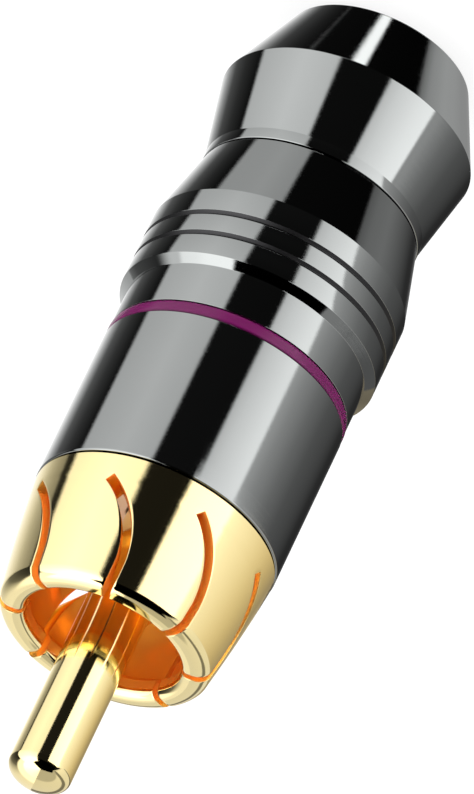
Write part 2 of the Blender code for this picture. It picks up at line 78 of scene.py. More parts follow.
# Studio: a dark room, as metal sees it from the plug's place. A tall white card stands to the left and a
# narrow, brighter one to the right. Black cloth hangs between them and beside them, and white cloth overhead.
WHITE = (1.0, 1.0, 1.0, 1.0)
BACK_TOP_LEVEL = 1.4
WALL_GAP_DEPTH = 0.75  # share of the wall's light that its gap takes
LOW_PATCH_LEVEL = 2.7
SOFT_LEVEL = 0.64
SOFT_FROM_LEFT = 0.52
SOFT_FROM_BACK = 0.34
SOFT_OVERHEAD = 7.0


class Value:
    """A shader socket. Arithmetic on it adds Math nodes, and node() adds any other node."""

    def __init__(self, tree, socket=None):
        self.tree = tree
        self.socket = socket

    def node(self, kind, settings=None, values=None, output=0):
        """Add a node of a type: first its settings, then the values or links of its sockets."""
        made = self.tree.nodes.new(kind)
        for name, setting in (settings or {}).items():
            if name == "stops":
                stops = made.color_ramp.elements
                stops.remove(stops[1])
                stops[0].position = setting[0][0]
                for place, _ in setting[1:]:
                    stops.new(place)
                for stop, (_, level) in zip(stops, setting):
                    stop.color = (level, level, level, 1.0)
            else:
                setattr(made, name, setting)
        for name, value in (values or {}).items():
            if isinstance(value, Value):
                self.tree.links.new(value.socket, made.inputs[name])
            else:
                made.inputs[name].default_value = value
        return Value(self.tree, made.outputs[output])

    def beside(self, name):
        """Another output of the node that this socket is on."""
        return Value(self.tree, self.socket.node.outputs[name])

    def math(self, operation, first, second=0.0):
        """A Math node on one or two values."""
        return self.node("ShaderNodeMath", {"operation": operation}, {0: first, 1: second})

    def __add__(self, other):
        return self.math("ADD", self, other)

    def __radd__(self, other):
        return self.math("ADD", other, self)

    def __sub__(self, other):
        return self.math("SUBTRACT", self, other)

    def __rsub__(self, other):
        return self.math("SUBTRACT", other, self)

    def __mul__(self, other):
        return self.math("MULTIPLY", self, other)

    def __rmul__(self, other):
        return self.math("MULTIPLY", other, self)

    def __truediv__(self, other):
        return self.math("DIVIDE", self, other)

    def rise(self, low, high):
        """0 below low and 1 above high, with a smooth step between them."""
        return self.node(
            "ShaderNodeMapRange",
            {"interpolation_type": "SMOOTHSTEP"},
            {"Value": self, "From Min": low, "From Max": high},
        )

    def levels(self, *points):
        """Straight lines through (place, level) points, with no level below 0."""
        low = points[0][0]
        span = points[-1][0] - low
        most = max(level for _, level in points)
        stops = [((place - low) / span, level / most) for place, level in points]
        return self.node("ShaderNodeValToRGB", {"stops": stops}, {"Fac": (self - low) / span}) * most

    def mix(self, share, first, second):
        """A colour between two colours."""
        colors = {"Factor": share, 6: first, 7: second}
        return self.node("ShaderNodeMix", {"data_type": "RGBA"}, colors, output=2)


world = bpy.data.worlds.new("studio")
world.use_nodes = True
bpy.context.scene.world = world
room = Value(world.node_tree)
background = room.tree.nodes["Background"]
background.inputs["Color"].default_value = WHITE

# A ray leaves the plug at round_right degrees to the right of its front and rising degrees above the level.
# From here on, a rise() is an edge of something in the room, and levels() are a brightness, or where an edge
# lies that isn't straight.
way = room.node("ShaderNodeSeparateXYZ", values={"Vector": room.node("ShaderNodeTexCoord")})
way_back = way.beside("Y")
round_right = room.math("ARCTAN2", way * -1.0, way_back * -1.0) * degrees(1)
rising = room.math("ARCSINE", way.beside("Z")) * degrees(1)

# Left of the plug: the card, and behind it a white glow from the back of the room.
left_start = round_right.rise(-103, -99)
left_end = 1 - round_right.rise(-31, -28)
left_height = rising.levels(
    (-90, 0.5), (-54, 0.78), (-30, 1.15), (-12, 1.45), (20, 1.8), (41, 2.6), (90, 2.6)
)
left_width = round_right.levels((-180, 0.8), (-103, 0.83), (-60, 1.04), (-30, 0.9), (180, 0.9))
left_card = left_start * left_end * rising.rise(-64, -61) * left_height * left_width
back_glow = round_right.levels(
    (-180, 1.25), (-162, 1.2), (-155, 1.0), (-145, 0.6), (-136, 0.2), (-120, 0.08), (-104, 0.02), (180, 0.0)
)
back_height = rising.levels((-90, 0.3), (-48, 0.5), (-38, 0.85), (-31, 1.0), (-25, 0.75), (90, 0.75))
back_top = rising.rise(30, 38)
back_side = back_glow * back_height * (1 - back_top) + (1 - left_start) * back_top * BACK_TOP_LEVEL

# Right of the plug: the narrow card, and beside it a wall that dims towards the back. The upper part of the
# wall is white, but for a dark gap that slopes down to the back. Under the wall the floor shows grey.
card_edge = rising.levels((-90, 50), (-30, 52), (-12, 59), (90, 59))
past_card = (round_right - card_edge).rise(-1, 2)
right_top = 1 - rising.rise(5, 9)
right_height = rising.rise(-50, -46) * right_top * rising.levels((-90, 0.97), (-30, 0.97), (10, 1.15))
right_width = round_right.levels((-180, 1.2), (14, 1.3), (25, 1.65), (46, 2.1), (60, 2.3), (180, 2.3))
right_card = round_right.rise(13, 15.5) * (1 - past_card) * right_height * right_width

dim_level = round_right.levels(
    (-180, 0.85), (54, 0.85), (65, 0.62), (85, 0.36), (105, 0.2), (125, 0.13), (145, 0.045), (158, 0.03),
    (180, 0.12),
)
floor_level = round_right.levels(
    (-180, 0.2), (62, 0.22), (75, 0.34), (95, 0.38), (115, 0.26), (145, 0.08), (180, 0.06)
)
off_floor = rising.rise(-50, -38)
wall_start = rising.levels((-90, 84), (-66, 81), (-54, 61), (-45, 50), (90, 50))
past_start = (round_right - wall_start).rise(-2, 2)
dim_wall = (dim_level * off_floor + floor_level * (1 - off_floor)) * past_card * past_start

white_part = rising.rise(-14, -9) * round_right.rise(60, 66)
gap_middle = round_right.levels((-180, 50), (67, 50), (82, 45), (97, 38), (112, 29), (127, 20), (180, 0))
above_gap = rising - gap_middle
wall_gap = above_gap.rise(-9, -5) * (1 - above_gap.rise(5, 9))
white_level = round_right.levels((-180, 1.0), (66, 1.0), (90, 0.85), (180, 0.75))
white_level = white_level * (1 - wall_gap * WALL_GAP_DEPTH)

near_edge = 0 - round_right.levels((-180, 70), (60, 63), (75, 61), (105, 55), (135, 47), (180, 30))
near_level = round_right.levels(
    (-180, 0), (82, 0), (86, 0.08), (95, 0.27), (115, 0.5), (130, 0.5), (180, 0.3)
)
near_floor = near_level * (1 - (rising - near_edge).rise(-3, 3))
wall = dim_wall * (1 - white_part) + white_part * white_level + near_floor

# Overhead white, a black strip across it, and a small white patch low on the left.
low_patch = round_right.rise(-50, -46) * (1 - round_right.rise(-25, -22)) * (1 - rising.rise(-70, -68))
strip_left = 0 - rising.levels((-90, 30), (52, 30), (62, 58), (90, 58))
strip_right = rising.levels((-90, 64), (55, 64), (62, 80), (90, 80))
strip = (round_right - strip_left).rise(-2, 2) * (1 - (round_right - strip_right).rise(-2, 2))
overhead = rising.rise(48, 54) * (1 - strip)
overhead_level = round_right.levels((-180, 1.4), (-115, 2.6), (-30, 2.6), (60, 0.5), (180, 0.5))

level = back_side + left_card + right_card + wall + low_patch * LOW_PATCH_LEVEL
level = level * (1 - overhead) * (1 - rising.rise(52, 56)) + overhead * overhead_level

# The camera sees plain white, and mirrored rays see the room. What is matt gets a soft light, most of it from
# overhead.
is_camera = room.node("ShaderNodeLightPath", output="Is Camera Ray")
is_diffuse = is_camera.beside("Is Diffuse Ray")
from_sides = SOFT_LEVEL + way * SOFT_FROM_LEFT + way_back * SOFT_FROM_BACK
soft_light = is_diffuse * (from_sides + rising.rise(50, 65) * SOFT_OVERHEAD)
is_mirrored = 1 - is_camera - is_diffuse
strength = level * is_mirrored + soft_light + is_camera
room.tree.links.new(strength.socket, background.inputs["Strength"])

# Side card: a bent card stands close to the plug, round its right side and back, just above the floor. Its
# white turns warm on the right. The collar and the pin reflect it, which keeps the gold light there, and the
# barrel mirrors what lies under its lower edge.
CARD_RADIUS = 50 * MM
CARD_BOTTOM = 4 * MM
CARD_TOP = 26 * MM
CARD_FRONT_TOP = 60 * MM
CARD_START = 9.5  # degrees to the right of the plug's front
CARD_DIM = 50  # degrees, where it leaves the light
CARD_LOW = 75  # degrees, where it is down to its lower top
CARD_WARM = 130  # degrees, where its colour is the warm one
CARD_END = 254
CARD_STEPS = 80
WARM_WHITE = (1.0, 0.86, 0.6, 1.0)

card_finish = bpy.data.materials.new("side_card")
card_finish.use_nodes = True
card_finish.node_tree.nodes.remove(card_finish.node_tree.nodes["Principled BSDF"])
card_sheet = Value(card_finish.node_tree)
card_place = card_sheet.node("ShaderNodeTexCoord", output="Object")
spot = card_sheet.node("ShaderNodeSeparateXYZ", values={"Vector": card_place})
card_round = card_sheet.math("ARCTAN2", spot * -1.0, spot.beside("Y") * -1.0) * degrees(1)
card_level = card_round.levels(
    (-180, 1.2), (-160, 1.15), (-145, 0.95), (-135, 0.75), (-125, 0.5), (-115, 0.35), (-106, 0.25),
    (25, 1.8), (CARD_DIM, 2.0), (CARD_DIM + 3, 1.2), (65, 1.04), (85, 0.88), (105, 0.7), (125, 0.5),
    (145, 0.33), (160, 0.4), (180, 1.2),
)
warm = card_sheet.mix(card_round.rise(CARD_DIM, CARD_WARM), WHITE, WARM_WHITE)
card_glow = card_sheet.node("ShaderNodeEmission", values={"Color": warm, "Strength": card_level})
card_sheet.tree.links.new(card_glow.socket, card_finish.node_tree.nodes["Material Output"].inputs["Surface"])

bm = bmesh.new()
start = radians(CARD_START)
foot = bm.verts.new((-CARD_RADIUS * sin(start), -CARD_RADIUS * cos(start), CARD_BOTTOM))
head = bm.verts.new((foot.co.x, foot.co.y, CARD_TOP))
edge = bm.edges.new((foot, head))
sweep = radians(CARD_END - CARD_START)
bmesh.ops.spin(bm, geom=[foot, head, edge], cent=(0, 0, 0), axis=(0, 0, -1), angle=sweep, steps=CARD_STEPS)
for vert in bm.verts:
    if vert.co.z > (CARD_BOTTOM + CARD_TOP) / 2:
        past_dim = degrees(atan2(-vert.co.x, -vert.co.y)) % 360 - CARD_DIM
        lowered = min(max(past_dim / (CARD_LOW - CARD_DIM), 0.0), 1.0)
        vert.co.z = CARD_FRONT_TOP + (CARD_TOP - CARD_FRONT_TOP) * lowered
card_mesh = bpy.data.meshes.new("side_card")
bm.to_mesh(card_mesh)
bm.free()
card_mesh.materials.append(card_finish)
side_card = bpy.data.objects.new("side_card", card_mesh)
side_card.visible_camera = False
side_card.visible_diffuse = False
side_card.visible_shadow = False
bpy.context.scene.collection.objects.link(side_card)

# Floor: white paper under the plug's tail. It glows for the camera, and keeps a faint shadow. Polished
# metal sees the studio in place of the paper, so it is hidden from glossy rays.
FLOOR_DROP = 0.2 * MM
FLOOR_SPAN = 600 * MM
FLOOR_GLOW = 0.9
PAPER_WHITE = (0.9, 0.9, 0.9, 1.0)
PAPER_ROUGHNESS = 0.9

paper = bpy.data.materials.new("paper")
paper.use_nodes = True
sheet = Value(paper.node_tree)
shader = paper.node_tree.nodes["Principled BSDF"]
shader.inputs["Base Color"].default_value = PAPER_WHITE
shader.inputs["Roughness"].default_value = PAPER_ROUGHNESS
glow = sheet.node("ShaderNodeEmission", values={"Color": WHITE, "Strength": 1.0})
seen = sheet.node("ShaderNodeLightPath", output="Is Camera Ray") * FLOOR_GLOW
mixed = sheet.node("ShaderNodeMixShader", values={0: seen, 1: Value(sheet.tree, shader.outputs[0]), 2: glow})
sheet.tree.links.new(mixed.socket, paper.node_tree.nodes["Material Output"].inputs["Surface"])

bm = bmesh.new()
bmesh.ops.create_grid(bm, x_segments=1, y_segments=1, size=FLOOR_SPAN / 2)
bmesh.ops.translate(bm, verts=bm.verts, vec=(0.0, 0.0, -FLOOR_DROP))
floor_mesh = bpy.data.meshes.new("floor")
bm.to_mesh(floor_mesh)
bm.free()
floor_mesh.materials.append(paper)
floor = bpy.data.objects.new("floor", floor_mesh)
floor.visible_glossy = False
bpy.context.scene.collection.objects.link(floor)

# Centre pin: a solid brass pin with a domed tip, turned and gold plated. A flange holds it between the two
# insulators, and its tail, inside the barrel, is a solder cup with a filed window.
PIN_FLANGE_RISE = 0.8 * MM
PIN_FLANGE_THICKNESS = 0.6 * MM
PIN_FLANGE_DEPTH = 1.3 * MM
PIN_DOME_HEIGHT = 0.88 * MM
DOME_STEPS = 24
CUP_LENGTH = 4.1 * MM
CUP_BORE_RADIUS = 1.15 * MM
CUP_BORE_DEPTH = 3.9 * MM
CUP_WINDOW_LENGTH = 3.0 * MM
EDGE = 0.1 * MM
EDGE_STEPS = 6  # faces across a rounded corner
EDGE_REACH = 0.45  # share of a side that a rounded corner may take
SPUN_LINES = 192  # round a large turned piece
SMALL_SPUN_LINES = 96
WELD_DISTANCE = 0.0002 * MM
SHARP_ANGLE = radians(32)
GOLD = (1.0, 0.84, 0.43)
GOLD_MARKS = 0.0004 * MM
MARK_PITCH = 0.05 * MM
DRIFT_SCALE = 260.0
GLOSS_DRIFT = 0.4  # share of its roughness by which a finish varies


def polished(name, color, metallic, roughness, marks=0.0, tint=0.05, constants=None):
    """A finish with turning marks round the plug's axis, and a slight drift of colour and gloss.

    Marks are the depth of the turning marks, and constants are what else is set on the shader.
    """
    made = bpy.data.materials.new(name)
    made.use_nodes = True
    shader = made.node_tree.nodes["Principled BSDF"]
    for socket, value in {"Metallic": metallic, **(constants or {})}.items():
        shader.inputs[socket].default_value = value
    sheet = Value(made.node_tree)
    place = sheet.node("ShaderNodeTexCoord", output="Object")
    drift = sheet.node("ShaderNodeTexNoise", values={"Vector": place, "Scale": DRIFT_SCALE, "Detail": 3.0})
    dark = tuple(part * (1 - tint) for part in color)
    colored = sheet.mix(drift, (*color, 1.0), (*dark, 1.0))
    sheet.tree.links.new(colored.socket, shader.inputs["Base Color"])
    gloss = roughness * (1 - GLOSS_DRIFT / 2) + drift * (roughness * GLOSS_DRIFT)
    sheet.tree.links.new(gloss.socket, shader.inputs["Roughness"])
    if marks:
        height = sheet.node("ShaderNodeSeparateXYZ", values={"Vector": place}, output="Z")
        turns = height / MARK_PITCH
        rings = sheet.node("ShaderNodeTexNoise", {"noise_dimensions": "1D"}, {"W": turns, "Detail": 2.0})
        bump = sheet.node("ShaderNodeBump", values={"Height": rings, "Distance": marks, "Strength": 1.0})
        sheet.tree.links.new(bump.socket, shader.inputs["Normal"])
    return made


def spun(corners, around=SPUN_LINES, bend=EDGE_STEPS):
    """Spin a closed outline of (radius, height) corners about Z. A third number rounds a corner."""
    bm = bmesh.new()
    verts = [bm.verts.new((corner[0], 0.0, corner[1])) for corner in corners]
    for index, vert in enumerate(verts):
        if max(vert.co.x, verts[index - 1].co.x) > 0:
            bm.edges.new((verts[index - 1], vert))
    roundings = []
    for index, corner in enumerate(corners):
        if len(corner) == 3:
            here = Vector(corner[:2])
            before = Vector(corners[index - 1][:2]) - here
            after = Vector(corners[(index + 1) % len(corners)][:2]) - here
            reach = corner[2] / tan(before.angle(after) / 2)
            room_left = EDGE_REACH * min(before.length, after.length)
            roundings.append((verts[index], min(reach, room_left)))
    for vert, reach in roundings:
        bmesh.ops.bevel(
            bm, geom=[vert], offset=reach, segments=bend, profile=0.5, affect="VERTICES", material=-1
        )
    bmesh.ops.spin(
        bm,
        geom=bm.verts[:] + bm.edges[:],
        cent=(0, 0, 0),
        axis=(0, 0, 1),
        angle=2 * pi,
        steps=around,
        use_merge=True,
    )
    bmesh.ops.remove_doubles(bm, verts=bm.verts, dist=WELD_DISTANCE)
    bmesh.ops.recalc_face_normals(bm, faces=bm.faces)
    return bm


def cut_away(bm, cutter):
    """Take one closed shape away from another, and return what is left."""
    pair = []
    for name, shape in (("stock", bm), ("cutter", cutter)):
        mesh = bpy.data.meshes.new(name)
        shape.to_mesh(mesh)
        shape.free()
        pair.append(bpy.data.objects.new(name, mesh))
        bpy.context.scene.collection.objects.link(pair[-1])
    boolean = pair[0].modifiers.new("cut", "BOOLEAN")
    boolean.operation = "DIFFERENCE"
    boolean.object = pair[1]
    left = bmesh.new()
    left.from_object(pair[0], bpy.context.evaluated_depsgraph_get())
    for item in pair:
        bpy.data.objects.remove(item)
    return left


def dress(name, bm, finishes, body, nodes):
    """Make a piece of a mesh, put it on its body, and let it stand for its CAD nodes."""
    mesh = bpy.data.meshes.new(name)
    bm.to_mesh(mesh)
    bm.free()
    mesh.shade_smooth()
    mesh.set_sharp_from_angle(angle=SHARP_ANGLE)
    for finish in finishes:
        mesh.materials.append(finish)
    made = bpy.data.objects.new(name, mesh)
    bpy.context.scene.collection.objects.link(made)
    gloss = made.modifiers.new("gloss", "WEIGHTED_NORMAL")
    gloss.keep_sharp = True
    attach(made, body)
    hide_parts(*nodes)


gold = polished("gold_plate", GOLD, metallic=1.0, roughness=0.06, marks=GOLD_MARKS)
pin_low, pin_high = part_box("centre_pin")
pin_radius = pin_high.x - PIN_FLANGE_RISE
face_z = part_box("front_insulator")[1].z
flange_z = face_z - PIN_FLANGE_DEPTH
dome_z = pin_high.z - PIN_DOME_HEIGHT
turns = [pi / 2 * step / DOME_STEPS for step in range(DOME_STEPS - 1, 0, -1)]
dome = [(pin_radius * cos(angle), dome_z + PIN_DOME_HEIGHT * sin(angle)) for angle in turns]
bm = spun(
    [
        (0.0, pin_high.z),
        *dome,
        (pin_radius, dome_z),
        (pin_radius, flange_z),
        (pin_high.x, flange_z),
        (pin_high.x, flange_z - PIN_FLANGE_THICKNESS),
        (pin_radius, flange_z - PIN_FLANGE_THICKNESS),
        (pin_radius, pin_low.z, EDGE),
        (CUP_BORE_RADIUS, pin_low.z, EDGE),
        (CUP_BORE_RADIUS, pin_low.z + CUP_BORE_DEPTH),
        (0.0, pin_low.z + CUP_BORE_DEPTH + CUP_BORE_RADIUS / 2),
    ],
    around=SMALL_SPUN_LINES,
)
window_low = Vector((-2 * pin_radius, pin_radius / 8, pin_low.z - CUP_LENGTH))
window_high = Vector((2 * pin_radius, 2 * pin_radius, pin_low.z + CUP_WINDOW_LENGTH))
window = bmesh.new()
bmesh.ops.create_cube(window, size=1.0)
bmesh.ops.scale(window, verts=window.verts, vec=window_high - window_low)
bmesh.ops.translate(window, verts=window.verts, vec=(window_low + window_high) / 2)
bm = cut_away(bm, window)
dress("pin_turned", bm, [gold], "core", ["centre_pin"])

# Ground collar: one turned brass cup, gold plated. Eight curved slots divide its wall into petals, which
# grip the jack with a rolled lip. Behind the seam it carries the barrel's thread and a hollow spigot.
LIP_RADIUS = 4.05 * MM
LIP_WALL = 1.32 * MM
LIP_LENGTH = 0.9 * MM
LIP_ROUND = 0.7 * MM
LIP_INNER_ROUND = 0.45 * MM
LIP_STEPS = 8  # faces across its rounding
RELIEF_DEPTH = 0.4 * MM
COLLAR_HEIGHT = 6.79 * MM
COLLAR_BOW = 0.07 * MM
BOSS_WALL = 1.1 * MM
WEB_THICKNESS = 1.3 * MM
POCKET_GAP = 0.05 * MM
SPIGOT_WALL = 0.75 * MM
SPIGOT_RADIUS = 2.95 * MM
THREAD_DEPTH = 0.35 * MM
THREAD_PITCH = 0.75 * MM
ROWS_PER_TURN = 10
SLOT_COUNT = 8
SLOT_WIDTH = 0.5 * MM
SLOT_LENGTH = 5.5 * MM
SLOT_BEND_RADIUS = 5.6 * MM
SLOT_APEX_DEPTH = 1.1 * MM
SLOT_PHASE = radians(8.8)
SLOT_EDGE = 0.035 * MM
SLOT_LINES = 4
SECTOR_LINES = 32
WALL_ROWS = 22
FIRST_WALL_ROW = 6
PAST_SLOT_DEPTH = 5.85 * MM
FLAT_AGAIN_DEPTH = 6.3 * MM
# Orange gold: a painted reflection, the colour of gold mirrored in gold put into the base colour.
GOLD_PAINTED_REFLECTION = (1.0, 0.46, 0.07)  # inside the socket and the slots, where gold mirrors gold
# Its sheen turns grazing reflections orange and drops the white sheen: painted reflection too.
GOLD_PAINTED_REFLECTION_SHEEN = {"Specular Tint": (1.0, 0.55, 0.15, 1.0), "Specular IOR Level": 0.0}
OUTER_FINISH = 0  # places among the collar's finishes
PAINTED_REFLECTION_FINISH = 1

collar_low, collar_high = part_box("ground_collar")
rim_z = collar_high.z
seam_z = rim_z - COLLAR_HEIGHT
collar_radius = collar_high.x
rim_radius = LIP_RADIUS + LIP_WALL
mean_radius = (collar_radius + rim_radius) / 2
pocket_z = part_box("front_insulator")[0].z - POCKET_GAP
boss_end_z = pocket_z - WEB_THICKNESS
boss_radius = LIP_RADIUS + BOSS_WALL
relief_radius = LIP_RADIUS + RELIEF_DEPTH


def wall_radius(depth):
    """Outside radius of the collar at a depth below its rim: a cone that bows out a little."""
    share = depth / COLLAR_HEIGHT
    return rim_radius + (collar_radius - rim_radius) * share + COLLAR_BOW * 4 * share * (1 - share)


def slot_place(depth, across):
    """Where a point on the slot's path lies, on the unrolled wall: its shift round the wall and its depth.

    Across is measured from the middle of the slot, square to its path.
    """
    lean_sine = (min(depth, SLOT_LENGTH) - SLOT_APEX_DEPTH) / SLOT_BEND_RADIUS
    bend = SLOT_BEND_RADIUS - across
    if depth < SLOT_APEX_DEPTH:  # near the lip the rows of the mesh stay level
        return SLOT_BEND_RADIUS - sqrt(bend**2 - (depth - SLOT_APEX_DEPTH) ** 2), depth
    shift = SLOT_BEND_RADIUS - bend * sqrt(1 - lean_sine**2)
    fade = 1 - max(0.0, min(1.0, (depth - SLOT_LENGTH) / (FLAT_AGAIN_DEPTH - SLOT_LENGTH)))
    return shift, depth - across * lean_sine * fade


def thread_rows(radius, start, end):
    """Points down a wall, close enough together to take a thread."""
    count = round(abs(end - start) / THREAD_PITCH * ROWS_PER_TURN)
    return [(radius, start + (end - start) * step / count) for step in range(1, count)]


def cut_thread(bm, radius, low, high, depth, inside=False):
    """Turn a plain wall into a right-handed screw thread, which runs out at both ends.

    An inside thread reaches inwards from its wall, and an outside thread outwards, each at the same turns.
    """
    for vert in bm.verts:
        if abs(hypot(vert.co.x, vert.co.y) - radius) > depth / 20 or not low < vert.co.z < high:
            continue
        turns = vert.co.z / THREAD_PITCH - atan2(vert.co.y, vert.co.x) / (2 * pi)
        ridge = 0.5 - 0.5 * cos(2 * pi * turns)
        run_out = min(1.0, (vert.co.z - low) / THREAD_PITCH, (high - vert.co.z) / THREAD_PITCH)
        scale = 1 + (ridge - 1 if inside else ridge) * depth * run_out / radius
        vert.co.x *= scale
        vert.co.y *= scale


rows = [SLOT_LENGTH * step / WALL_ROWS for step in range(FIRST_WALL_ROW, WALL_ROWS + 1)]
rows += [PAST_SLOT_DEPTH, FLAT_AGAIN_DEPTH]
outer_wall = [(wall_radius(depth), rim_z - depth) for depth in rows]
inner_wall = [(relief_radius, rim_z - depth) for depth in reversed(rows) if depth > LIP_LENGTH + RELIEF_DEPTH]
bm = spun(
    [
        (LIP_RADIUS, rim_z, LIP_INNER_ROUND),
        (rim_radius, rim_z, LIP_ROUND),
        *outer_wall,
        (collar_radius, seam_z, EDGE),
        (boss_radius, seam_z),
        *thread_rows(boss_radius, seam_z, boss_end_z),
        (boss_radius, boss_end_z, EDGE / 2),
        (SPIGOT_RADIUS, boss_end_z),
        (SPIGOT_RADIUS, collar_low.z, EDGE),
        (SPIGOT_RADIUS - SPIGOT_WALL, collar_low.z),
        (SPIGOT_RADIUS - SPIGOT_WALL, pocket_z),
        (LIP_RADIUS, pocket_z),
        (LIP_RADIUS, face_z + RELIEF_DEPTH),
        (relief_radius, face_z + 2 * RELIEF_DEPTH),
        *inner_wall,
        (relief_radius, rim_z - LIP_LENGTH - RELIEF_DEPTH),
        (LIP_RADIUS, rim_z - LIP_LENGTH),
    ],
    around=SLOT_COUNT * SECTOR_LINES,
    bend=LIP_STEPS,
)

# The spun lines are led along the slots: four lines of faces lie in each slot, and the rest in its petal.
lines = {}
for vert in bm.verts:
    turn = atan2(vert.co.y, vert.co.x) / (2 * pi) * SLOT_COUNT * SECTOR_LINES
    lines[vert] = divmod(round(turn) % (SLOT_COUNT * SECTOR_LINES), SECTOR_LINES)
in_slots = []
for face in bm.faces:
    columns = [lines[vert][1] for vert in face.verts]
    deepest = rim_z - min(vert.co.z for vert in face.verts)
    if max(columns) <= SLOT_LINES and deepest < SLOT_LENGTH + SLOT_EDGE:
        in_slots.append(face)
    middle = face.calc_center_median()
    # Faces inside the socket take the orange gold, a painted reflection.
    if hypot(middle.x, middle.y) < relief_radius + SLOT_EDGE and LIP_INNER_ROUND < rim_z - middle.z:
        face.material_index = PAINTED_REFLECTION_FINISH
for vert, (slot, line) in lines.items():
    depth = rim_z - vert.co.z
    if line <= SLOT_LINES:
        shift, new_depth = slot_place(depth, SLOT_WIDTH * (line / SLOT_LINES - 0.5))
    else:
        share = (line - SLOT_LINES) / (SECTOR_LINES - SLOT_LINES)
        start, start_depth = slot_place(depth, SLOT_WIDTH / 2)
        end, end_depth = slot_place(depth, -SLOT_WIDTH / 2)
        end += 2 * pi / SLOT_COUNT * mean_radius
        shift = start + (end - start) * share
        new_depth = start_depth + (end_depth - start_depth) * share
    radius = hypot(vert.co.x, vert.co.y)
    if abs(radius - wall_radius(depth)) < COLLAR_BOW / 4:  # the outer wall keeps its bowed cone
        radius = wall_radius(new_depth)
    angle = SLOT_PHASE + 2 * pi * slot / SLOT_COUNT + shift / mean_radius
    vert.co = (radius * cos(angle), radius * sin(angle), rim_z - new_depth)
cut_thread(bm, boss_radius, boss_end_z + EDGE, seam_z, THREAD_DEPTH)

# Each slot is opened, and its walls are bridged from the outside of the wall to its inside. The slot walls
# take the orange gold, a painted reflection.
bmesh.ops.delete(bm, geom=in_slots, context="FACES")
slot_rims = [edge for edge in bm.edges if edge.is_boundary]
slot_walls = {}
for edge in slot_rims:
    (slot, line), (_, other_line) = (lines[vert] for vert in edge.verts)
    slot_wall = (slot, line if line == other_line else SECTOR_LINES)
    outside = [hypot(vert.co.x, vert.co.y) > LIP_RADIUS + LIP_WALL / 2 for vert in edge.verts]
    if outside[0] == outside[1]:
        slot_walls.setdefault(slot_wall, []).append(edge)
for edges in slot_walls.values():
    for face in bmesh.ops.bridge_loops(bm, edges=edges)["faces"]:
        face.material_index = PAINTED_REFLECTION_FINISH
rounding = bmesh.ops.bevel(
    bm,
    geom=slot_rims,
    offset=SLOT_EDGE,
    segments=2,
    profile=0.5,
    affect="EDGES",
    clamp_overlap=True,
    material=-1,
)
for face in rounding["faces"]:
    face.material_index = OUTER_FINISH
bmesh.ops.recalc_face_normals(bm, faces=bm.faces)
# Partly metal and partly matt orange: the painted reflection of gold in gold, for the socket and the slots.
gold_painted_reflection = polished(
    "gold_painted_reflection", GOLD_PAINTED_REFLECTION, metallic=0.65, roughness=0.12, marks=GOLD_MARKS, constants=GOLD_PAINTED_REFLECTION_SHEEN
)
dress("collar_turned", bm, [gold, gold_painted_reflection], "core", ["ground_collar"])

# Front insulator: a turned disc of white plastic in the collar's pocket, with the pin in its middle. Its
# white
# is painted a warm tan: painted light, the glow that the gold around it reflects onto it.
FIT_GAP = 0.05 * MM
# White plastic painted tan: painted light reflected from the gold.
NYLON_PAINTED_GOLD_LIGHT = (0.52, 0.40, 0.27)

nylon = polished("nylon", NYLON_PAINTED_GOLD_LIGHT, metallic=0.0, roughness=0.42, marks=0.002 * MM, tint=0.06)
front_low, front_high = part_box("front_insulator")
hole = pin_radius + FIT_GAP
seat = pin_high.x + FIT_GAP
bm = spun(
    [
        (hole, front_high.z, EDGE),
        (front_high.x, front_high.z, EDGE),
        (front_high.x, front_low.z),
        (seat, front_low.z),
        (seat, flange_z + FIT_GAP),
        (hole, flange_z + FIT_GAP),
    ],
    around=SMALL_SPUN_LINES,
)
dress("front_insulator_turned", bm, [nylon], "core", ["front_insulator"])

# Rear insulator: a flanged bush of the same white plastic, which keeps the pin's tail off the spigot. It has
# the same painted gold light in its tan.
BUSH_WALL = 0.5 * MM
BUSH_FLANGE_THICKNESS = 0.55 * MM

rear_low, rear_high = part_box("rear_insulator")
bm = spun(
    [
        (hole, rear_high.z),
        (hole + BUSH_WALL, rear_high.z),
        (hole + BUSH_WALL, rear_low.z + BUSH_FLANGE_THICKNESS),
        (rear_high.x, rear_low.z + BUSH_FLANGE_THICKNESS, EDGE),
        (rear_high.x, rear_low.z, EDGE),
        (hole, rear_low.z, EDGE),
    ],
    around=SMALL_SPUN_LINES,
)
dress("rear_insulator_turned", bm, [nylon], "core", ["rear_insulator"])

# Solder tab and its hexagon nut: sheet brass, folded, and a small turned nut, both plated and left satin.
# They and the loose plastic liner have their full form in the solids, and take only their finish here.
BRASS = (0.80, 0.62, 0.28)
BLACK = (0.028, 0.028, 0.03)

satin_brass = polished("plated_brass", BRASS, metallic=1.0, roughness=0.28, marks=0.001 * MM, tint=0.12)
black_plastic = polished("black_plastic", BLACK, metallic=0.0, roughness=0.45, marks=0.003 * MM, tint=0.3)
for name, finish in (("ground_tab", satin_brass), ("lock_nut", satin_brass), ("liner", black_plastic)):
    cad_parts[name].material_slots[0].material = finish

